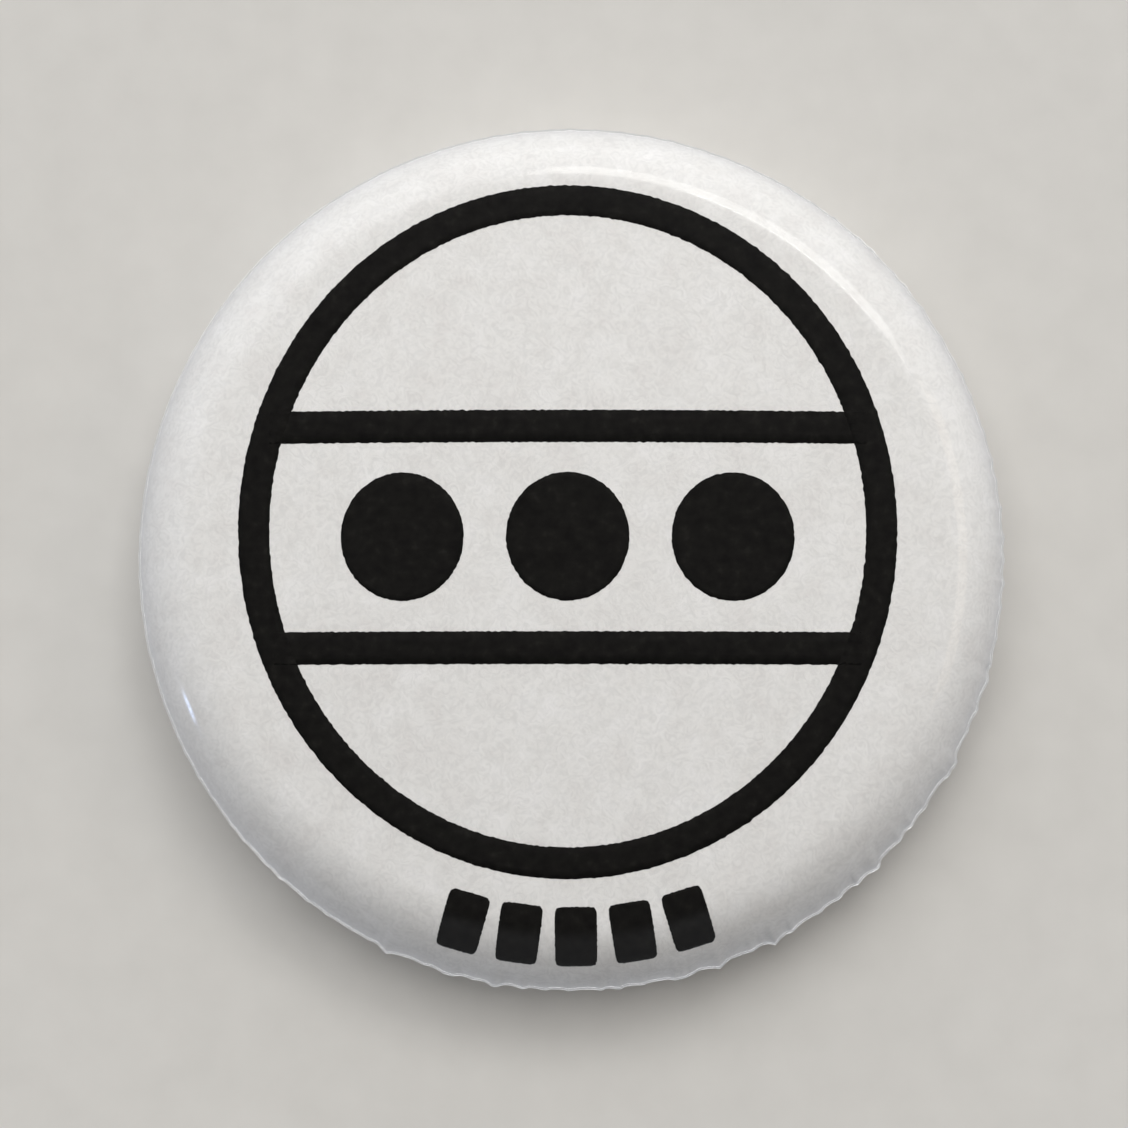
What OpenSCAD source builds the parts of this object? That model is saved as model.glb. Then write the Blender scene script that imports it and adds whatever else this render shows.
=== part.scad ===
// Pin-back button badge: a domed tinplate shell wrapped in a printed paper disc and a
// clear film, crimped round a pressed back plate that holds a D-shaped spring-wire pin.
// The badge lies on its back: +Z is out of the printed face, +Y is the top of the print.
// The origin is the centre of the badge on the surface it lies on.

/* [Badge] */
// Overall diameter across the film
badge_d = 25; // [20:0.5:60]
// Overall height from the curled back edge to the top of the face
badge_h = 4.2; // [4:0.1:8]
// Height that the face domes by inside its shoulder
crown_rise = 0.6; // [0.3:0.1:2]
// Radius of the shoulder between the face and the side
shoulder_r = 2.2; // [1.8:0.1:2.8]
// Radius of the curl between the side and the back
curl_r = 1; // [0.9:0.05:1.3]
// Width of the flat land that the badge rests on
land_w = 0.5; // [0.3:0.05:1]

/* [Layers] */
// Thickness of the clear polyester film
film_t = 0.05; // [0.04:0.01:0.08]
// Thickness of the printed paper
paper_t = 0.12; // [0.08:0.01:0.16]
// Thickness of the tinplate shell
shell_t = 0.25; // [0.2:0.01:0.3]
// Gap between one layer and the next
layer_gap = 0.01; // [0.005:0.005:0.02]
// Width of film and paper tucked in behind the shell's edge
tuck_w = 0.5; // [0.2:0.05:0.6]

/* [Back plate] */
// Thickness of the back plate
plate_t = 0.25; // [0.2:0.01:0.3]
// Width of the flat flange that shows between the crimp and the dish
flange_w = 1.1; // [0.8:0.1:3]
// Width that the dish's wall takes up, seen from the back
wall_run = 0.55; // [0.4:0.05:1]
// Radius on the inside of each bend
bend_r = 0.2; // [0.15:0.05:0.3]
// Depth of the finger well below the dish's floor
well_h = 0.45; // [0.3:0.05:0.6]
// Width of the dish's floor between its wall and the finger well
floor_w = 3.9; // [3.5:0.1:6]
// Gap where the plate seats inside the crimp
seat_gap = 0.03; // [0.02:0.01:0.05]

/* [Pin wire] */
// Diameter of the spring wire
wire_d = 0.75; // [0.6:0.05:0.9]
// Distance of the needle above the badge's centre
needle_y = 3; // [2:0.1:4]
// Inside gap for cloth, between the needle and the dish's floor
cloth_gap = 0.68; // [0.6:0.02:1]
// Centreline radius of the spring bend at the needle's root
spring_r = 1.4; // [1.2:0.1:2]
// Centreline radius of the joggle that lifts the needle off the floor
joggle_r = 1.2; // [1:0.1:1.6]
// Length of the ground point
point_l = 3.2; // [2.8:0.1:4]
// Gap between the tip of the point and the dish's wall
tip_gap = 0.75; // [0.5:0.05:1.2]
// Where the hoop's cut end lies, in degrees from the +X direction
hoop_start = 2; // [0:1:10]
// Play between the wire and the metal round it
wire_play = 0.03; // [0.02:0.01:0.05]
// Slant of the spring hinge, in degrees: it swings the needle sideways out of the catch
hinge_slant = 40; // [38:1:45]

/* [Lugs and catch] */
// Width of each lug along the hoop
lug_w = 1.8; // [1.2:0.1:2.4]
// Angle in degrees that a lug curls past the outermost line of the wire
lug_curl = 40; // [20:5:50]
// Where the lugs stand round the hoop, in degrees from the +X direction
lug_angles = [198, 270, 342];
// Width of the catch along the needle
catch_w = 1.2; // [0.8:0.1:1.6]
// Play between the point and the inside of the catch
catch_play = 0.32; // [0.3:0.02:0.5]
// Height of the catch above the surface that the badge lies on
catch_clear = 0.15; // [0.1:0.05:0.4]
// Angle in degrees that the catch curls past the outermost line of the needle
catch_curl = 8; // [0:1:9]

/* [Hidden] */
$fn = 64;
arc_steps = 14;      // straight pieces in each rounded corner of a section
crown_steps = 24;    // straight pieces across the crown
tip_r = 0.04;        // radius left on the very tip of the point
lance_gap = 0.06;    // gap between a raised tab and the window it was cut from
cut = 1;             // how far a cutting tool runs past the metal
root_l = 0.2;        // straight wire between the needle's hinge and its joggle
weld_r = 0.002;      // how far the bead at each wire joint stands out of the wire

badge_r = badge_d / 2;
// Depth of each layer's outer face below the film's
paper_o = film_t + layer_gap;
shell_o = paper_o + paper_t + layer_gap;
inside_o = shell_o + shell_t;
// The dome's sphere, and the shoulder's arc that touches it and the side
shoulder_x = badge_r - shoulder_r;
crown_r = (pow(shoulder_x, 2) + pow(crown_rise, 2)) / (2 * crown_rise);
crown_z = badge_h - crown_r;
shoulder_z = crown_z + sqrt(pow(crown_r - shoulder_r, 2) - pow(shoulder_x, 2));
crown_end = atan2(shoulder_z - crown_z, shoulder_x);
// The shell's rounded edge, round which the paper and the film fold
edge_x = badge_r - curl_r - land_w;
edge_z = shell_o + shell_t / 2;
hem_top = edge_z * 2;
hem_x = edge_x - edge_z;

// The needle lies far enough in for the catch to clear the surface
wire_r = wire_d / 2;
point_shoulder = wire_r - tip_r;
catch_back = 0.55;                                   // how far the catch stands back from the tip
catch_r_at = tip_r + point_shoulder * (catch_back + catch_w) / point_l;
catch_ri = catch_r_at + catch_play;
catch_ro = catch_ri + plate_t;
needle_z = catch_clear + catch_ro;
floor_z = needle_z + wire_r + cloth_gap;
hoop_z = floor_z - wire_r - wire_play;

// Plate: flange, dish, finger well and the rim that stands inside the shell
flange_z = hem_top + seat_gap;
rim_gap = 2 * seat_gap;
rim_x = badge_r - inside_o - rim_gap;
rim_top = shoulder_z + sqrt(pow(shoulder_r - inside_o, 2) - pow(shoulder_r - inside_o - rim_gap, 2)) - seat_gap;
mouth_r = hem_x - flange_w;
dish_r = mouth_r - wall_run;
well_run = well_h / 2;
well_r = dish_r - floor_w;

// Wire: a hoop in the dish's corner, a spring bend, then the needle
hoop_r = dish_r - wire_r - plate_t;
spring_y = needle_y - spring_r;
spring_x = -sqrt(pow(hoop_r - spring_r, 2) - pow(spring_y, 2));
spring_start = atan2(spring_y, spring_x);
root_gap = asin((wire_r + wire_play) / spring_r);    // angle left open between hoop and needle
hinge = [spring_x, needle_y, hoop_z];
joggle_drop = hoop_z - needle_z;
joggle_a = acos(1 - joggle_drop / (2 * joggle_r));
shank_x = hinge[0] + root_l + 2 * joggle_r * sin(joggle_a);
wall_x = dish_r + wall_run * (floor_z - needle_z) / (floor_z - flange_z);
tip_x = sqrt(pow(wall_x, 2) - pow(needle_y, 2)) - tip_gap;
point_x = tip_x - point_l;
catch_x = tip_x - catch_back - catch_w;

// Flat lengths of the tabs, which set the size of the windows they leave
lug_ri = wire_r + wire_play;
lug_ro = lug_ri + plate_t;
lug_flat = floor_z - hoop_z + (lug_ri + plate_t / 2) * PI * (90 + lug_curl) / 180;
catch_flat = floor_z - needle_z + (catch_ri + plate_t / 2) * PI * (90 + catch_curl) / 180;

tinplate = [0.72, 0.73, 0.75];
nickel = [0.62, 0.62, 0.63];

function reversed(v) = [for (i = [len(v) - 1:-1:0]) v[i]];
function unit(v) = v / norm(v);
function left_of(v) = [-v[1], v[0]];
function turn(a, b) = a[0] * b[1] - a[1] * b[0];

// Points round an arc of radius r about c, from angle a to angle b
function arc(c, r, a, b, n = arc_steps) = [for (i = [0:n]) let (t = a + (b - a) * i / n) c + r * [cos(t), sin(t)]];

// A section of the badge's outside, o below the film's face, from the axis to the edge
function skin(o) = concat(
    arc([0, crown_z], crown_r - o, 90, crown_end, crown_steps),
    arc([shoulder_x, shoulder_z], shoulder_r - o, crown_end, 0),
    arc([badge_r - curl_r, curl_r], curl_r - o, 0, -90)
);

// The same section, folded round the shell's edge and tucked in behind it
function wrapped(o) = concat(
    skin(o),
    arc([edge_x, edge_z], edge_z - o, 270, 90),
    [[edge_x + tuck_w, hem_top - o]]
);

// The corner points of a path, moved d to the left of it
function shifted(p, d) = [for (i = [0:len(p) - 1]) let (
    before = left_of(unit(p[max(i, 1)] - p[max(i, 1) - 1])),
    after = left_of(unit(p[min(i, len(p) - 2) + 1] - p[min(i, len(p) - 2)]))
) p[i] + d * (before + after) / (1 + before * after)];

// A corner at b, rounded to radius r
function rounded(a, b, c, r) = let (
    u = unit(a - b),
    v = unit(c - b),
    half = acos(u * v) / 2,
    centre = b + unit(u + v) * r / sin(half),
    from = b + u * r / tan(half) - centre,
    to = b + v * r / tan(half) - centre,
    start = atan2(from[1], from[0]),
    swing = atan2(turn(from, to), from * to)
) arc(centre, r, start, start + swing);

// A path with every inner corner rounded: r on the inside of a bend, r + t on its outside
function bent(p, r, t, side) = concat(
    [p[0]],
    [for (i = [1:len(p) - 2]) let (
        inside = turn(p[i] - p[i - 1], p[i + 1] - p[i]) * side > 0
    ) each rounded(p[i - 1], p[i], p[i + 1], inside ? r : r + t)],
    [p[len(p) - 1]]
);

// The section of a bent strip of thickness t that lies to the right of path p
function strip(p, r, t) = concat(bent(p, r, t, 1), reversed(bent(shifted(p, -t), r, t, -1)));

// A curled tab in section: a ring from r to r + t about the origin, and a riser of height h
function curl_tab(r, t, curl, h) = concat(
    [[-r, h], [-r - t, h]],
    arc([0, 0], r + t, 180, 270 + curl),
    arc([0, 0], r, 270 + curl, 180)
);

module tube_arc(r, from, to) {
    rotate([0, 0, from]) rotate_extrude(angle = to - from) translate([r, 0]) circle(r = wire_r);
}

// A bead that joins two lengths of wire where their ends meet
module weld(p) {
    translate(p) rotate([0, 90, 0]) sphere(r = wire_r + weld_r);
}

module film_cover() {
    color([0.93, 0.95, 0.97, 0.35])
        rotate_extrude() polygon(concat(wrapped(0), reversed(wrapped(film_t))));
}

module print_disc() {
    color("white")
        rotate_extrude() polygon(concat(wrapped(paper_o), reversed(wrapped(paper_o + paper_t))));
}

module front_shell() {
    color(tinplate)
        rotate_extrude() polygon(concat(
            skin(shell_o),
            arc([edge_x, edge_z], shell_t / 2, 270, 90),
            reversed(skin(inside_o))
        ));
}

// Every tab is cut free on three sides, and leaves a window of its own flat size
module lug_window() {
    span = 2 * asin((lug_w / 2 + lance_gap) / hoop_r);
    rotate([0, 0, -span / 2]) rotate_extrude(angle = span)
        translate([hoop_r - lug_ro - lance_gap - lug_flat, floor_z - cut]) square([lug_flat, plate_t + 2 * cut]);
}

module lug() {
    span = 2 * asin(lug_w / 2 / hoop_r);
    rotate([0, 0, -span / 2]) rotate_extrude(angle = span)
        translate([hoop_r, hoop_z]) polygon(curl_tab(lug_ri, plate_t, lug_curl, floor_z - hoop_z + plate_t / 2));
}

module catch_window() {
    translate([catch_x - lance_gap, needle_y + catch_ri - lance_gap - catch_flat, floor_z - cut])
        cube([catch_w + 2 * lance_gap, catch_flat, plate_t + 2 * cut]);
}

module catch() {
    translate([catch_x, needle_y, needle_z]) rotate([90, 0, 90]) linear_extrude(catch_w)
        mirror([1, 0]) polygon(curl_tab(catch_ri, plate_t, catch_curl, floor_z - needle_z + plate_t / 2));
}

module back_plate() {
    color(tinplate) {
        difference() {
            rotate_extrude() polygon(strip([
                [rim_x, rim_top],
                [rim_x, flange_z],
                [mouth_r, flange_z],
                [dish_r, floor_z],
                [well_r, floor_z],
                [well_r - well_run, floor_z + well_h],
                [0, floor_z + well_h]
            ], bend_r, plate_t));
            for (a = lug_angles) rotate([0, 0, a]) lug_window();
            catch_window();
        }
        for (a = lug_angles) rotate([0, 0, a]) lug();
        catch();
    }
}

module pin_hoop() {
    color(nickel) {
        translate([0, 0, hoop_z]) tube_arc(hoop_r, spring_start, 360 + hoop_start);
        translate([spring_x, spring_y, hoop_z]) tube_arc(spring_r, 90 + root_gap, spring_start);
        weld([hoop_r * cos(spring_start), hoop_r * sin(spring_start), hoop_z]);
    }
}

// The needle's root is a ball on its hinge, so that it turns clear of the hoop's end
module root() {
    rotate([0, 90, 0]) rotate_extrude() {
        intersection() {
            circle(r = wire_r);
            translate([0, -wire_r]) square(wire_r);
        }
        square([wire_r, root_l]);
    }
}

module joggle() {
    run = joggle_r * sin(joggle_a);
    rotate([90, 0, 0]) {
        translate([0, -joggle_r]) tube_arc(joggle_r, 90 - joggle_a, 90);
        translate([2 * run, joggle_r - joggle_drop]) tube_arc(joggle_r, 270 - joggle_a, 270);
    }
    weld([0, 0, 0]);
    weld([run, 0, -joggle_drop / 2]);
    weld([2 * run, 0, -joggle_drop]);
}

module pin_needle() {
    color(nickel) {
        translate(hinge) {
            root();
            translate([root_l, 0, 0]) joggle();
        }
        translate([shank_x, needle_y, needle_z]) rotate([0, 90, 0]) {
            cylinder(r = wire_r, h = point_x - shank_x);
            translate([0, 0, point_x - shank_x]) cylinder(r1 = wire_r, r2 = tip_r, h = point_l);
        }
    }
}

film_cover();
print_disc();
front_shell();
back_plate();
pin_hoop();
pin_needle();
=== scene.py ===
import bmesh
import bpy
import numpy as np
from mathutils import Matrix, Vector


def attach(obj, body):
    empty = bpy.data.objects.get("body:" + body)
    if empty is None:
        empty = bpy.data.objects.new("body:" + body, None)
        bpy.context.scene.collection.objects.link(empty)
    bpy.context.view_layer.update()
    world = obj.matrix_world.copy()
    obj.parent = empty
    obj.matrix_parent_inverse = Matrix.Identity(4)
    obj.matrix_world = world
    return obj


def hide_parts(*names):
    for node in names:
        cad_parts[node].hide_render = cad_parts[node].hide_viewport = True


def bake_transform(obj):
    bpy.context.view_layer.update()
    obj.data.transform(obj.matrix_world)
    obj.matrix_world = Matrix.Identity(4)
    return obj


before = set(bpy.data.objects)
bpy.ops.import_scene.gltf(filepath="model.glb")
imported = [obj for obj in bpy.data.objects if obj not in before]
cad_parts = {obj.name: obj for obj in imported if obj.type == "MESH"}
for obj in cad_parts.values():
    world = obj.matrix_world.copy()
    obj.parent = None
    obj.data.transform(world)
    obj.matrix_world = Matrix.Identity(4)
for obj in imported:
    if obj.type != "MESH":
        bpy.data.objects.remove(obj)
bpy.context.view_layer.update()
print("frame loaded")

mm = 0.001
dice = np.random.default_rng(25)

# The badge's section, as in the part: everything in mm
badge = {
    "radius": 12.5,
    "height": 4.2,
    "crownRise": 0.6,
    "shoulderR": 2.2,
    "curlR": 1.0,
    "land": 0.5,          # flat that it rests on
    "tuck": 0.5,          # how far film and paper go in behind the shell's edge
    "shellDepth": 0.19,   # film, paper and gaps, over the shell
    "shell": 0.25,
}
badge["shoulderX"] = badge["radius"] - badge["shoulderR"]
badge["crownR"] = (badge["shoulderX"] ** 2 + badge["crownRise"] ** 2) / (2 * badge["crownRise"])
badge["crownZ"] = badge["height"] - badge["crownR"]
shoulderDrop = np.sqrt((badge["crownR"] - badge["shoulderR"]) ** 2 - badge["shoulderX"] ** 2)
badge["shoulderZ"] = badge["crownZ"] + shoulderDrop
badge["crownEnd"] = np.arctan2(badge["shoulderZ"] - badge["crownZ"], badge["shoulderX"])


def newMesh(name, points, faces, body, material, smooth=True):
    mesh = bpy.data.meshes.new(name)
    mesh.from_pydata((np.asarray(points) * mm).tolist(), [], [list(f) for f in faces])
    mesh.validate()
    mesh.polygons.foreach_set("use_smooth", np.full(len(mesh.polygons), smooth))
    mesh.materials.append(material)
    mesh.update()
    obj = bpy.data.objects.new(name, mesh)
    bpy.context.scene.collection.objects.link(obj)
    if body:
        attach(obj, body)
    return obj


def closeUp(obj):
    # welds points that coincide, fills open ends and turns every face outward
    work = bmesh.new()
    work.from_mesh(obj.data)
    bmesh.ops.remove_doubles(work, verts=work.verts, dist=1e-8)
    bmesh.ops.holes_fill(work, edges=[e for e in work.edges if e.is_boundary])
    bmesh.ops.recalc_face_normals(work, faces=work.faces)
    work.to_mesh(obj.data)
    work.free()


def gridFaces(rows, cols, closeCols=False, first=0):
    # quads of a grid whose points are numbered row by row
    i, j = np.meshgrid(np.arange(rows - 1), np.arange(cols if closeCols else cols - 1), indexing="ij")
    k = (j + 1) % cols
    quads = np.stack([i * cols + j, i * cols + k, (i + 1) * cols + k, (i + 1) * cols + j], -1)
    return (quads.reshape(-1, 4) + first).tolist()


def arc(cx, cz, r, start, end, n):
    # n + 1 points on a circle of radius r about (cx, cz), angles in radians
    t = np.linspace(start, end, n + 1)
    return np.stack([cx + r * np.cos(t), cz + r * np.sin(t)], -1)


def wrapSection(depth):
    # crown, shoulder and curl arcs, the land, the fold round the shell's edge and the tuck, moved in
    # by depth; the third column is how far pleats stand out there, the fourth how strongly creases show, both
    # as bumps and as painted shade on the paper
    b, half = badge, np.pi / 2
    edgeX = b["radius"] - b["curlR"] - b["land"]
    edgeZ = b["shellDepth"] + b["shell"] / 2
    curlX = b["radius"] - b["curlR"]
    crown = arc(0, b["crownZ"], b["crownR"] - depth, half, b["crownEnd"], 10)
    shoulder = arc(b["shoulderX"], b["shoulderZ"], b["shoulderR"] - depth, b["crownEnd"], 0, 22)[1:]
    curl = arc(curlX, b["curlR"], b["curlR"] - depth, 0, -half, 18)
    land = np.array([[curlX - b["land"] / 2, depth]])
    fold = arc(edgeX, edgeZ, edgeZ - depth, -half, -3 * half, 10)
    tuck = np.array([[edgeX + b["tuck"], 2 * edgeZ - depth]])
    parts = [
        (crown, [0, 0], [0, 0]),
        (shoulder, [0, 0, 0, 0.15, 0.5, 0.85], [0, 0, 0, 0.05, 0.3, 0.6]),
        (curl, [0.9, 1, 1, 0.9, 0.5, 0.1], [0.65, 0.8, 1, 1, 1, 1]),
        (land, [0, 0], [1, 1]),
        (fold, [0, 0.1, 0.5, 0.9, 0.5, 0.1], [1, 1, 1, 1, 0.5, 0]),
        (tuck, [0, 0], [0, 0]),
    ]
    rows = []
    for points, out, show in parts:
        at = np.linspace(0, 1, len(points))
        columns = [np.interp(at, np.linspace(0, 1, len(w)), w) for w in (out, show)]
        rows.append(np.column_stack([points, *columns]))
    rows = np.concatenate(rows)
    rows[0, 0] = 0
    return rows


# Pleats: each rises slowly and drops off on one side, like a knife pleat
pleats = {
    "count": 104,
    "spread": 0.3,         # unevenness of their spacing
    "height": 0.105,       # mm, of a common one
    "calmest": 150,        # degrees from +X where they are lowest
    "calm": 0.25,          # their height there, as a share
    "bigOnes": [-17, -29, -46, -62, -70, -75, -100, -106, -115],   # degrees from +X
    "bigHeight": 0.13,
    "width": 2.1,          # degrees that a common pleat's slope covers
    "bigWidth": 3.8,
    "step": 0.22,          # its steep side, as a share of the slope
}


def pleatHeights(angle):
    # sum over the pleats of height * slope((angle - place) / width), each slope ending in a steep step
    p = pleats
    shift = dice.uniform(-p["spread"], p["spread"], p["count"])
    places = (np.arange(p["count"]) + shift) * 360 / p["count"]
    heights = p["height"] * dice.uniform(0.3, 1, p["count"])
    heights = heights * (1 - (1 - p["calm"]) * (0.5 + 0.5 * np.cos(np.radians(places - p["calmest"]))))
    places = np.concatenate([places, p["bigOnes"]])
    heights = np.concatenate([heights, p["bigHeight"] * dice.uniform(0.6, 1, len(p["bigOnes"]))])
    side = np.where(dice.uniform(size=len(places)) < 0.8, 1, -1)
    gap = (np.degrees(angle)[:, None] - places + 180) % 360 - 180
    width = np.where(np.arange(len(places)) < p["count"], p["width"], p["bigWidth"])
    t = gap * side / width
    slope = np.where(t > 0, np.exp(-(t / p["step"]) ** 2), np.clip(1 + t, 0, 1) ** 2)
    crease = np.exp(-((t - p["step"]) / 0.16) ** 2) * np.clip(heights / p["height"], 0.35, 1)
    return (slope * heights).sum(1), np.clip(crease.sum(1), 0, 1)


segments = 780
around = np.linspace(0, 2 * np.pi, segments, endpoint=False)
pleatUp, pleatCrease = pleatHeights(around)
print("pleats laid out")


def wrappedLayer(name, depth, thickness, material, replaced):
    # section turned about Z; the closed section runs out along the outer face and back along the inner,
    # and each row is pushed along its normal by pleat height times its weight
    outer, inner = wrapSection(depth), wrapSection(depth + thickness)
    shape = []
    for rows, sign in ((outer, 1), (inner[::-1], -1)):
        along = np.gradient(rows[:, :2], axis=0)
        normal = np.stack([-along[:, 1], along[:, 0]], -1) * sign
        normal /= np.linalg.norm(normal, axis=1)[:, None]
        shape.append(np.column_stack([rows, normal]))
    rows = np.concatenate(shape)
    push = rows[:, 2:3] * pleatUp[None, :]
    r = rows[:, 0:1] + rows[:, 4:5] * push
    z = rows[:, 1:2] + rows[:, 5:6] * push
    ring = np.stack([r * np.cos(around), r * np.sin(around), z * np.ones(segments)], -1)
    middle = ring[1:-1].reshape(-1, 3)
    points = np.concatenate([middle, [[0, 0, rows[0, 1]], [0, 0, rows[-1, 1]]]])
    count, top = len(rows) - 2, len(middle)
    faces = [f[::-1] for f in gridFaces(count, segments, True)]
    j = np.arange(segments)
    k = (j + 1) % segments
    last = (count - 1) * segments
    faces += np.stack([np.full(segments, top), j, k], -1).tolist()
    faces += np.stack([np.full(segments, top + 1), last + k, last + j], -1).tolist()
    obj = newMesh(name, points, faces, "badge", material)
    # crease strength at each point: it drives the film's and the paper's bumps and the paper's painted shade
    crease = obj.data.attributes.new("crease", "FLOAT", "POINT")
    amount = (rows[1:-1, 3:4] * pleatCrease[None, :]).reshape(-1)
    crease.data.foreach_set("value", np.concatenate([amount, [0, 0]]).astype(np.float32))
    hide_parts(replaced)


def linear(hexColour):
    # sRGB hex to linear: c / 12.92 below 0.04045, else ((c + 0.055) / 1.055) ** 2.4
    c = np.array([int(hexColour[i:i + 2], 16) for i in (1, 3, 5)]) / 255
    return (*np.where(c <= 0.04045, c / 12.92, ((c + 0.055) / 1.055) ** 2.4).tolist(), 1)


def node(tree, kind, inputs=None, **settings):
    # adds a node, sets its properties, and fills its inputs with values or links
    made = tree.nodes.new("ShaderNode" + kind)
    for key, value in settings.items():
        setattr(made, key, value)
    for key, value in (inputs or {}).items():
        if isinstance(value, bpy.types.NodeSocket):
            tree.links.new(value, made.inputs[key])
        else:
            made.inputs[key].default_value = value
    return made


def startMaterial(name):
    material = bpy.data.materials.new(name)
    material.use_nodes = True
    tree = material.node_tree
    tree.nodes.clear()
    out = node(tree, "OutputMaterial")
    place = node(tree, "TexCoord")
    return material, tree, out, place.outputs["Object"]


def ramp(tree, fac, stops):
    made = node(tree, "ValToRGB", {"Fac": fac})
    while len(made.color_ramp.elements) < len(stops):
        made.color_ramp.elements.new(0.5)
    for element, (at, colour) in zip(made.color_ramp.elements, stops):
        element.position = at
        element.color = linear(colour) if isinstance(colour, str) else (colour, colour, colour, 1)
    return made.outputs["Color"]


def makeClearFilm():
    # drawn polyester film, 0.05 mm: clear and glossy, with fine handling scuffs and a slow ripple
    material, tree, out, place = startMaterial("clearPolyesterFilm")
    ripple = node(tree, "TexNoise", {"Vector": place, "Scale": 420, "Detail": 2})          # 2.4 mm ripple
    scuffPlace = node(tree, "Mapping", {"Vector": place, "Rotation": (0, 0, 0.7), "Scale": (1, 14, 1)})
    scuff = node(tree, "TexNoise", {"Vector": scuffPlace.outputs[0], "Scale": 900, "Detail": 4})
    wave = node(tree, "Bump", {"Height": ripple.outputs["Fac"], "Strength": 0.25, "Distance": 0.00002})
    fold = node(tree, "Attribute", attribute_name="crease")
    bump = node(tree, "Bump", {
        "Height": fold.outputs["Fac"], "Strength": 0.7, "Distance": 0.00005,
        "Normal": wave.outputs[0]}, invert=True)
    rough = ramp(tree, scuff.outputs["Fac"], [(0.35, 0.1), (0.75, 0.17)])
    white = linear("#FFFFFF")
    gloss = node(tree, "BsdfGlossy", {"Color": white, "Roughness": rough, "Normal": bump.outputs[0]})
    clear = node(tree, "BsdfTransparent", {"Color": white})
    edge = node(tree, "Fresnel", {"IOR": 1.6, "Normal": bump.outputs[0]})
    face = node(tree, "NewGeometry")       # only the outer face mirrors: the film is stuck to the paper
    outward = node(tree, "Math", {0: 1.0, 1: face.outputs["Backfacing"]}, operation="SUBTRACT")
    share = node(tree, "Math", {0: edge.outputs[0], 1: outward.outputs[0]}, operation="MULTIPLY")
    mix = node(tree, "MixShader", {0: share.outputs[0], 1: clear.outputs[0], 2: gloss.outputs[0]})
    tree.links.new(mix.outputs[0], out.inputs["Surface"])
    return material


def makePaper():
    # smooth uncoated 100 g paper: white and matt, cloudy over 1 mm or so, fibres of 0.3 mm and finer; its
    # colour is darkened along the pleats' creases as painted shade
    material, tree, out, place = startMaterial("uncoatedWhitePaper")
    cloud = node(tree, "TexNoise", {"Vector": place, "Scale": 900, "Detail": 6, "Roughness": 0.7})
    fibre = node(tree, "TexNoise", {"Vector": place, "Scale": 3200, "Detail": 4, "Distortion": 2.5})
    tone = ramp(tree, cloud.outputs["Fac"], [(0.3, "#E9E6E2"), (0.5, "#EEECE8"), (0.7, "#F3F1EE")])
    grey = ramp(tree, fibre.outputs["Fac"], [(0.35, "#F5F5F5"), (0.6, "#FFFFFF")])
    both = node(tree, "Mix", {6: tone, 7: grey, 0: 1.0}, data_type="RGBA", blend_type="MULTIPLY")
    fold = node(tree, "Attribute", attribute_name="crease")
    # painted shade: the paper's colour goes darker where the crease attribute is strong, standing in for
    # shade in the creases
    paintedCreaseShade = ramp(tree, fold.outputs["Fac"], [(0.1, "#FFFFFF"), (1, "#C9C8C5")])
    colour = node(tree, "Mix", {6: both.outputs[2], 7: paintedCreaseShade, 0: 1.0},
                  data_type="RGBA", blend_type="MULTIPLY")
    grain = node(tree, "Bump", {"Height": fibre.outputs["Fac"], "Strength": 0.3, "Distance": 0.00002})
    bump = node(tree, "Bump", {
        "Height": fold.outputs["Fac"], "Strength": 0.8, "Distance": 0.00006,
        "Normal": grain.outputs[0]}, invert=True)
    skin = node(tree, "BsdfPrincipled", {
        "Base Color": colour.outputs[2], "Roughness": 0.85, "IOR": 1.45,
        "Specular IOR Level": 0.2, "Normal": bump.outputs[0]})
    tree.links.new(skin.outputs[0], out.inputs["Surface"])
    return material


def makeInk():
    # black toner ink on paper: dense, very slightly mottled by the fibres under it
    material, tree, out, place = startMaterial("blackPrintingInk")
    mottle = node(tree, "TexNoise", {"Vector": place, "Scale": 3500, "Detail": 4})
    colour = ramp(tree, mottle.outputs["Fac"], [(0.3, "#151413"), (0.6, "#1C1B19"), (0.8, "#262522")])
    skin = node(tree, "BsdfPrincipled", {
        "Base Color": colour, "Roughness": 0.6, "IOR": 1.5, "Specular IOR Level": 0.04})
    tree.links.new(skin.outputs[0], out.inputs["Surface"])
    return material


def makeTinplate(name, base, dark, roughness):
    # rolled tinplate: bright tin on steel, with rolling lines every 0.05 mm or so and faint stains
    material, tree, out, place = startMaterial(name)
    lines = node(tree, "Mapping", {"Vector": place, "Scale": (40, 1, 1)})
    rolled = node(tree, "TexNoise", {
        "Vector": lines.outputs[0], "Scale": 500, "Detail": 4, "Roughness": 0.65})
    stain = node(tree, "TexNoise", {"Vector": place, "Scale": 260, "Detail": 3})
    scratchPlace = node(tree, "Mapping", {"Vector": place, "Rotation": (0, 0, 0.9), "Scale": (1, 30, 1)})
    scratch = node(tree, "TexNoise", {"Vector": scratchPlace.outputs[0], "Scale": 420, "Detail": 2})
    colour = ramp(tree, stain.outputs["Fac"], [(0.3, dark), (0.65, base)])
    rough = ramp(tree, rolled.outputs["Fac"], [(0.3, roughness - 0.06), (0.7, roughness + 0.1)])
    fine = node(tree, "Bump", {"Height": rolled.outputs["Fac"], "Strength": 0.12, "Distance": 0.00001})
    mark = ramp(tree, scratch.outputs["Fac"], [(0.66, 0.0), (0.72, 1.0)])
    bump = node(tree, "Bump", {
        "Height": mark, "Strength": 0.2, "Distance": 0.00001, "Normal": fine.outputs[0]})
    skin = node(tree, "BsdfPrincipled", {
        "Base Color": colour, "Metallic": 1.0, "Roughness": rough, "Normal": bump.outputs[0]})
    tree.links.new(skin.outputs[0], out.inputs["Surface"])
    return material


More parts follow.
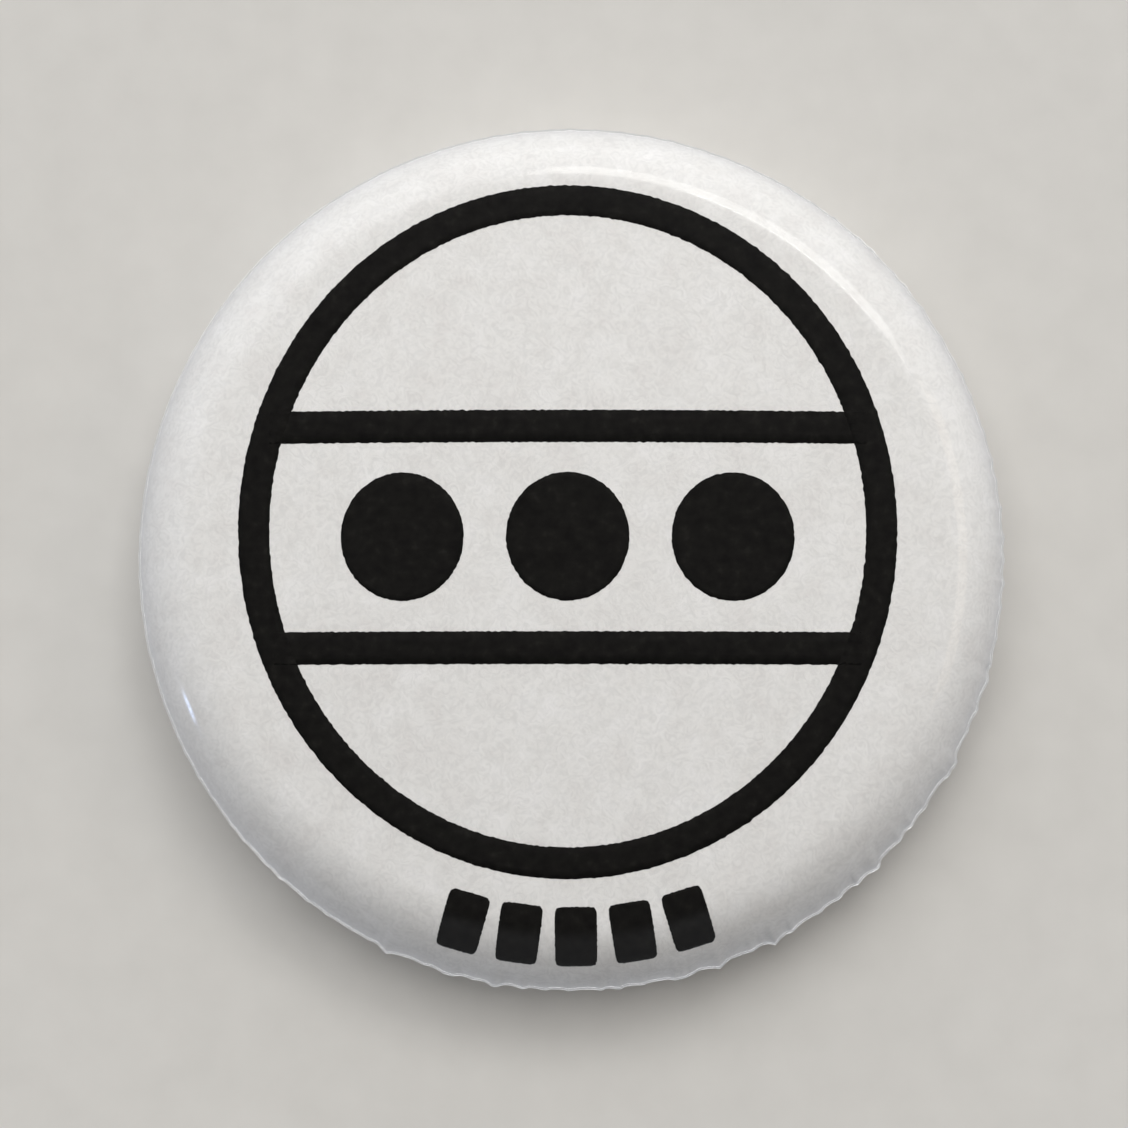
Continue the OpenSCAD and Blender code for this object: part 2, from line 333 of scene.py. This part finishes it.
def makeWire():
    # drawn spring steel with a thin nickel plate: bright, warm grey, with die lines along the wire
    material, tree, out, place = startMaterial("nickelPlatedSpringWire")
    uv = node(tree, "UVMap", uv_map="wire")
    lines = node(tree, "Mapping", {"Vector": uv.outputs[0], "Scale": (0.6, 60, 1)})
    drawn = node(tree, "TexNoise", {"Vector": lines.outputs[0], "Scale": 1.0, "Detail": 3})
    dull = node(tree, "TexNoise", {"Vector": place, "Scale": 900, "Detail": 3})
    colour = ramp(tree, dull.outputs["Fac"], [(0.3, "#A9A6A1"), (0.65, "#C9C6C1")])
    rough = ramp(tree, dull.outputs["Fac"], [(0.3, 0.16), (0.7, 0.28)])
    bump = node(tree, "Bump", {"Height": drawn.outputs["Fac"], "Strength": 0.15, "Distance": 0.00001})
    skin = node(tree, "BsdfPrincipled", {
        "Base Color": colour, "Metallic": 1.0, "Roughness": rough, "Normal": bump.outputs[0]})
    tree.links.new(skin.outputs[0], out.inputs["Surface"])
    return material


def makeFloor():
    # pale matt laminate tabletop; only a camera above it sees it, so the badge's back is lit and seen
    material, tree, out, place = startMaterial("paleTabletop")
    speck = node(tree, "TexNoise", {"Vector": place, "Scale": 700, "Detail": 3})
    colour = ramp(tree, speck.outputs["Fac"], [(0.3, "#D3D0CA"), (0.7, "#D7D4CE")])
    skin = node(tree, "BsdfPrincipled", {"Base Color": colour, "Roughness": 0.7, "IOR": 1.45})
    face = node(tree, "NewGeometry")
    ray = node(tree, "LightPath")
    seen = node(tree, "Math", {0: ray.outputs["Is Camera Ray"], 1: face.outputs["Backfacing"]},
                operation="SUBTRACT")
    clear = node(tree, "BsdfTransparent")
    mix = node(tree, "MixShader", {0: seen.outputs[0], 1: clear.outputs[0], 2: skin.outputs[0]})
    tree.links.new(mix.outputs[0], out.inputs["Surface"])
    return material


clearFilm = makeClearFilm()
paper = makePaper()
ink = makeInk()
shellTin = makeTinplate("rolledTinplateShell", "#C6C8C9", "#B4B5B4", 0.3)
plateTin = makeTinplate("stampedTinplateBack", "#CBCCCC", "#B9BAB9", 0.26)
wireMetal = makeWire()
print("materials made")

# Film and paper: how deep each lies under the badge's outside, and how thick it is, in mm
layers = {"filmDepth": 0, "film": 0.05, "paperDepth": 0.06, "paper": 0.12}
wrappedLayer("filmSkin", layers["filmDepth"], layers["film"], clearFilm, "film_cover")
wrappedLayer("paperDisc", layers["paperDepth"], layers["paper"], paper, "print_disc")
print("film and paper wrapped")

# Ink: plain shapes given on the flat paper and laid over the crown and shoulder
inkCoat = {"lift": 0.0015, "thickness": 0.0045}


def layOnPaper(x, y, lift):
    # distance from the centre is kept as arc length: first along the crown, then round the shoulder
    b, s, turn = badge, np.hypot(x, y), np.arctan2(y, x)
    flatR, flatS = b["crownR"] - layers["paperDepth"], b["shoulderR"] - layers["paperDepth"]
    crownR, shoulderR = flatR + lift, flatS + lift
    span = np.pi / 2 - b["crownEnd"]
    t = s / flatR
    over = np.maximum(s - span * flatR, 0) / flatS + span
    r = np.where(t < span, crownR * np.sin(t), b["shoulderX"] + shoulderR * np.sin(over))
    z = np.where(t < span, b["crownZ"] + crownR * np.cos(t), b["shoulderZ"] + shoulderR * np.cos(over))
    return np.stack([r * np.cos(turn), r * np.sin(turn), z], -1)


def roughEdge(t, size, waves=(40, 340)):
    # sum of sines with random phase, for the small unevenness of a printed edge
    k = dice.integers(*waves, 40)
    phase = dice.uniform(0, 2 * np.pi, 40)
    return size * np.sin(np.outer(t, k) + phase).mean(1) * 3


def inkSlab(name, x, y, wraps, poles=False):
    # a grid of flat (x, y), laid twice on the paper, walled round its border and closed
    rows, cols = x.shape
    low = layOnPaper(x, y, inkCoat["lift"]).reshape(-1, 3)
    high = layOnPaper(x, y, inkCoat["lift"] + inkCoat["thickness"]).reshape(-1, 3)
    n = len(low)
    sheet = gridFaces(rows, cols, wraps) + gridFaces(rows, cols, wraps, n)
    if wraps:
        borders = [np.arange(cols) + (rows - 1) * cols]
        if poles:
            sheet += [list(range(cols)), list(range(n, n + cols))]
        else:
            borders.append(np.arange(cols))
    else:
        borders = [np.concatenate([np.arange(cols), np.arange(1, rows) * cols + cols - 1,
                                   (rows - 1) * cols + np.arange(cols - 1)[::-1],
                                   np.arange(1, rows - 1)[::-1] * cols])]
    for border in borders:
        after = np.roll(border, -1)
        sheet += np.stack([border, after, after + n, border + n], -1).tolist()
    obj = newMesh(name, np.concatenate([low, high]), sheet, "badge", ink)
    closeUp(obj)


# in mm: half axes, stroke and centre of the oval ring, and how uneven every printed edge is
ring = {"rx": 8.95, "ry": 9.52, "stroke": 0.9, "x": -0.1, "y": 0.53, "edge": 0.02}
bars = {"upper": 2.9, "lower": -3.43, "stroke": 0.93}
dots = {"radius": 1.75, "stretch": 1.05, "spacing": 4.7, "y": -0.26, "power": 2}
blocks = {
    "count": 5,
    "width": 1.2,
    "height": 1.85,
    "power": 9,
    "reach": 11.15,        # mm from the badge's centre
    "step": 8.4,           # degrees from one to the next
    "middle": -89.3,
}


def drawRing():
    t = np.linspace(0, 2 * np.pi, 1400, endpoint=False)
    inside, outside = roughEdge(t, ring["edge"]), roughEdge(t, ring["edge"])
    v = np.linspace(-0.5, 0.5, 5)[:, None]
    shift = v * ring["stroke"] + (0.5 - v) * inside + (0.5 + v) * outside
    x = ring["x"] + (ring["rx"] + shift) * np.cos(t)
    y = ring["y"] + (ring["ry"] + shift) * np.sin(t)
    inkSlab("printRing", x, y, True)


def drawBar(name, height):
    # straight band, ended inside the ring's stroke
    reach = ring["rx"] * np.sqrt(1 - (height / ring["ry"]) ** 2)
    u = np.linspace(-reach, reach, 420)
    below, above = roughEdge(u * 0.11, ring["edge"]), roughEdge(u * 0.11, ring["edge"])
    v = np.linspace(-0.5, 0.5, 4)[:, None]
    y = ring["y"] + height + v * bars["stroke"] + (0.5 - v) * below + (0.5 + v) * above
    inkSlab(name, ring["x"] + u * np.ones_like(v), y, False)


def drawSpot(name, cx, cy, halfW, halfH, power, turn):
    # superellipse |x/a|^n + |y/b|^n = 1, filled by rings from its centre; 2 is round, 9 nearly square
    t = np.linspace(0, 2 * np.pi, 160, endpoint=False)
    edge = (np.abs(np.cos(t) / halfW) ** power + np.abs(np.sin(t) / halfH) ** power) ** (-1 / power)
    edge = edge + roughEdge(t, ring["edge"], (8, 70))
    v = np.linspace(0.02, 1, 12)[:, None]
    x, y = v * edge * np.cos(t), v * edge * np.sin(t)
    turnedX = x * np.cos(turn) - y * np.sin(turn)
    turnedY = x * np.sin(turn) + y * np.cos(turn)
    inkSlab(name, cx + turnedX, cy + turnedY, True, True)


drawRing()
drawBar("printBarUpper", bars["upper"])
drawBar("printBarLower", bars["lower"])
for i, name in enumerate(["printDotLeft", "printDotMiddle", "printDotRight"]):
    drawSpot(name, ring["x"] + (i - 1) * dots["spacing"], ring["y"] + dots["y"],
             dots["radius"], dots["radius"] * dots["stretch"], dots["power"], 0)
for i in range(blocks["count"]):
    a = np.radians(blocks["middle"] + (i - (blocks["count"] - 1) / 2) * blocks["step"])
    drawSpot(f"printBlock{i + 1}", blocks["reach"] * np.cos(a), blocks["reach"] * np.sin(a),
             blocks["width"] / 2, blocks["height"] / 2, blocks["power"], a + np.pi / 2)
print("print laid on the paper")

# The shell stays as it is, with its own metal
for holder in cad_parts["front_shell"].material_slots:
    holder.material = shellTin


def smoothCopy(nodeName, name, body, material):
    # the part's own mesh, its points merged and its round faces shaded smoothly
    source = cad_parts[nodeName]
    obj = bpy.data.objects.new(name, source.data.copy())
    bpy.context.scene.collection.objects.link(obj)
    obj.data.materials.clear()
    obj.data.materials.append(material)
    bpy.context.view_layer.objects.active = obj
    bpy.ops.object.select_all(action="DESELECT")
    obj.select_set(True)
    bpy.ops.object.mode_set(mode="EDIT")
    bpy.ops.mesh.select_all(action="SELECT")
    bpy.ops.mesh.remove_doubles(threshold=1e-7)
    bpy.ops.object.mode_set(mode="OBJECT")
    bpy.ops.object.shade_smooth_by_angle(angle=np.radians(32))
    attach(obj, body)
    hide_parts(nodeName)


smoothCopy("back_plate", "backPlate", "badge", plateTin)
print("back plate smoothed")

# Pin wire: one line of wire in three lengths, all in mm
wire = {
    "radius": 0.375,
    "hoopR": 8.41,
    "hoopZ": 1.5932,
    "hoopStart": 2,        # degrees
    "springR": 1.4,
    "needleY": 3.0,
    "needleZ": 0.9432,
    "rootLength": 0.2,
    "joggleR": 1.2,
    "pointX": 5.031,
    "pointLength": 3.2,
    "tipR": 0.03,
    "flexReach": 0.6,      # the bending length, each way from the hinge
}
# the spring bend touches the hoop from inside and ends, level with the needle, at the hinge
bendX = np.sqrt((wire["hoopR"] - wire["springR"]) ** 2 - (wire["needleY"] - wire["springR"]) ** 2)
wire["hinge"] = (-bendX, wire["needleY"], wire["hoopZ"])


def pinPath():
    # hoop arc, spring bend, short straight, two equal arcs down to the needle's level, straight to the tip
    w = wire
    hx, hy, hz = w["hinge"]
    cy = hy - w["springR"]
    meet = np.arctan2(cy, hx)
    a = np.linspace(np.radians(360 + w["hoopStart"]), meet, 260)
    hoop = np.stack([w["hoopR"] * np.cos(a), w["hoopR"] * np.sin(a), np.full_like(a, hz)], -1)
    a = np.linspace(meet, np.pi / 2, 48)[1:]
    springX, springY = hx + w["springR"] * np.cos(a), cy + w["springR"] * np.sin(a)
    spring = np.stack([springX, springY, np.full_like(a, hz)], -1)
    drop = hz - w["needleZ"]
    bend = np.arccos(1 - drop / (2 * w["joggleR"]))
    a = np.linspace(0, bend, 22)
    downX, downZ = w["joggleR"] * np.sin(a), w["joggleR"] * (1 - np.cos(a))
    runX = np.concatenate([downX, 2 * downX[-1] - downX[::-1][1:]]) + w["rootLength"]
    runZ = np.concatenate([downZ, drop - downZ[::-1][1:]])
    joggle = np.stack([hx + runX, np.full_like(runX, hy), hz - runZ], -1)
    shank = np.linspace(joggle[-1, 0], w["pointX"], 60)[1:]
    point = np.linspace(w["pointX"], w["pointX"] + w["pointLength"], 40)[1:]
    x = np.concatenate([shank, point])
    needle = np.stack([x, np.full_like(x, hy), np.full_like(x, w["needleZ"])], -1)
    return np.concatenate([hoop, spring, joggle, needle])


def sweepWire(name, path, radii, body, capStart, capEnd):
    # circle of the given radius carried along the path, standing square to it; ends close to a point
    if capStart:
        path = np.concatenate([path[:1], path[:1], path])
        radii = np.concatenate([[0, radii[0] * 0.85], radii])
        path[2:3] += (path[3:4] - path[2:3]) * 0.15
    if capEnd:
        path = np.concatenate([path, path[-1:]])
        radii = np.concatenate([radii, [0]])
    step = np.gradient(path, axis=0)
    still = np.linalg.norm(step, axis=1) < 1e-9
    step[still] = path[3] - path[2] if capStart else path[-2] - path[-3]
    along = step / np.linalg.norm(step, axis=1)[:, None]
    side = np.cross([0, 0, 1], along)
    side /= np.linalg.norm(side, axis=1)[:, None]
    up = np.cross(along, side)
    sides = 28
    t = np.linspace(0, 2 * np.pi, sides, endpoint=False)
    circle = np.cos(t)[None, :, None] * side[:, None] + np.sin(t)[None, :, None] * up[:, None]
    points = path[:, None] + radii[:, None, None] * circle
    rows = len(path)
    obj = newMesh(name, points.reshape(-1, 3), gridFaces(rows, sides, True), body, wireMetal)
    uvs = obj.data.uv_layers.new(name="wire")
    walked = np.concatenate([[0], np.cumsum(np.linalg.norm(np.diff(path, axis=0), axis=1))])
    i, j = np.divmod(np.arange((rows - 1) * sides), sides)
    alongWire = walked[np.stack([i, i, i + 1, i + 1], -1)]
    roundWire = np.stack([j, j + 1, j + 1, j], -1) / sides
    uv = np.stack([alongWire, roundWire], -1)
    uvs.data.foreach_set("uv", uv.astype(np.float32).reshape(-1))
    closeUp(obj)
    return obj


# the wire rides on the badge up to flexReach short of the hinge, and on the needle from as far past it
path = pinPath()
hingeX = wire["hinge"][0]
onHoop = (path[:, 0] < hingeX - wire["flexReach"]) | (path[:, 1] < wire["hinge"][1] - wire["springR"] * 0.9)
start = int(np.argmax(~onHoop))
end = start + int(np.argmax(path[start:, 0] > hingeX + wire["flexReach"]))
radii = np.full(len(path), wire["radius"])
taper = np.clip((path[:, 0] - wire["pointX"]) / wire["pointLength"], 0, 1) * (np.arange(len(path)) > end)
radii = radii + (wire["tipR"] - wire["radius"]) * taper
sweepWire("wireHoop", path[:start + 1].copy(), radii[:start + 1], "badge", True, False)
flex = sweepWire("wireBend", path[start:end + 1].copy(), radii[start:end + 1], None, False, False)
needle = sweepWire("wireNeedle", path[end:].copy(), radii[end:], "needle", False, True)
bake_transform(flex)
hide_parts("pin_hoop")
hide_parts("pin_needle")
print("wire bent")

tableHalf = 400            # mm
corners = np.array([[-1, -1, 0], [1, -1, 0], [1, 1, 0], [-1, 1, 0]]) * tableHalf
table = newMesh("tabletop", corners, [[0, 1, 2, 3]], None, makeFloor(), False)

lamps = {
    # name: azimuth, elevation, distance, width, height in metres, watts, colour
    "keySoftbox": (66, 47, 0.8, 0.56, 0.17, 0.75, "#FFFEFB"),
    "bounceFill": (98, 66, 0.8, 0.9, 0.7, 4.4, "#FFFFFF"),
    "streakStrip": (60, 53, 0.5, 0.17, 0.005, 0.055, "#FFFFFF"),
    "rightPanel": (8, 38, 0.6, 0.4, 0.16, 0.17, "#FFEBD0"),
    "lowWindow": (197, 3, 0.5, 0.03, 0.04, 0.06, "#BFD4FF"),
    "underPanel": (90, -84, 0.7, 0.22, 0.22, 0.5, "#FFFFFF"),   # below the table, for the badge's back
}
onlyLights = ["bounceFill"]      # lights the surfaces but isn't mirrored in the film


def sphere(azimuth, elevation, distance):
    a, e = np.radians(azimuth), np.radians(elevation)
    level = distance * np.cos(e)
    return Vector((level * np.cos(a), level * np.sin(a), distance * np.sin(e)))


for name, (azimuth, elevation, distance, width, height, watts, colour) in lamps.items():
    light = bpy.data.lights.new(name, "AREA")
    light.shape, light.size, light.size_y = "RECTANGLE", width, height
    light.energy, light.color = watts, linear(colour)[:3]
    lamp = bpy.data.objects.new(name, light)
    lamp.location = sphere(azimuth, elevation, distance)
    lamp.rotation_euler = (-lamp.location).to_track_quat("-Z", "Y").to_euler()
    lamp.visible_glossy = name not in onlyLights
    bpy.context.scene.collection.objects.link(lamp)

# The room: dim overhead, where the glossy film looks, brighter towards the walls, brightest behind the badge
room = {
    "overhead": 0.03,
    "walls": 1.0,
    "wallTop": 0.6,        # how high the walls' light reaches, as the sine of its elevation
    "ceiling": 0.92,       # from where it is as dim as overhead
    "near": 0.16,          # shares of that on the camera's side and on the far side
    "far": 1.0,
    "below": 0.6,          # light from under the table, for the back
    "backdrop": 0.62,      # what the camera sees where there is nothing
    "colour": "#F1F3F8",
}
world = bpy.data.worlds.new("studio")
world.use_nodes = True
sky = world.node_tree
direction = node(sky, "TexCoord")
facing = node(sky, "SeparateXYZ", {0: direction.outputs["Generated"]})
fade = {0: facing.outputs["Z"], 1: room["wallTop"], 2: room["ceiling"], 3: room["walls"], 4: room["overhead"]}
glow = node(sky, "MapRange", fade, interpolation_type="SMOOTHSTEP")
side = node(sky, "MapRange", {0: facing.outputs["Y"], 1: -0.8, 2: 0.8, 3: room["near"], 4: room["far"]})
above = node(sky, "Math", {0: glow.outputs[0], 1: side.outputs[0]}, operation="MULTIPLY")
horizon = node(sky, "Math", {0: facing.outputs["Z"], 1: 0.0}, operation="GREATER_THAN")
around360 = node(sky, "Mix", {0: horizon.outputs[0], 2: room["below"], 3: above.outputs[0]})
eye = node(sky, "LightPath")
strength = node(sky, "Mix", {0: eye.outputs["Is Camera Ray"], 2: around360.outputs[0], 3: room["backdrop"]})
sky.nodes["Background"].inputs["Color"].default_value = linear(room["colour"])
sky.links.new(strength.outputs[0], sky.nodes["Background"].inputs["Strength"])
bpy.context.scene.world = world
bpy.context.scene.view_settings.view_transform = "Standard"

view = {"target": (-0.204, -0.24, 1.4), "elevation": 84, "distance": 130, "width": 32.65}
cameraData = bpy.data.cameras.new("camera")
cameraData.sensor_width = 36
cameraData.lens = 36 * view["distance"] / view["width"]
cameraData.clip_start = 0.002
cameraData.clip_end = 5
camera = bpy.data.objects.new("camera", cameraData)
target = Vector(view["target"]) * mm
camera.location = target + sphere(-90, view["elevation"], view["distance"] * mm)
camera.rotation_euler = (target - camera.location).to_track_quat("-Z", "Y").to_euler()
bpy.context.scene.collection.objects.link(camera)
bpy.context.scene.camera = camera
print("lights and camera set")
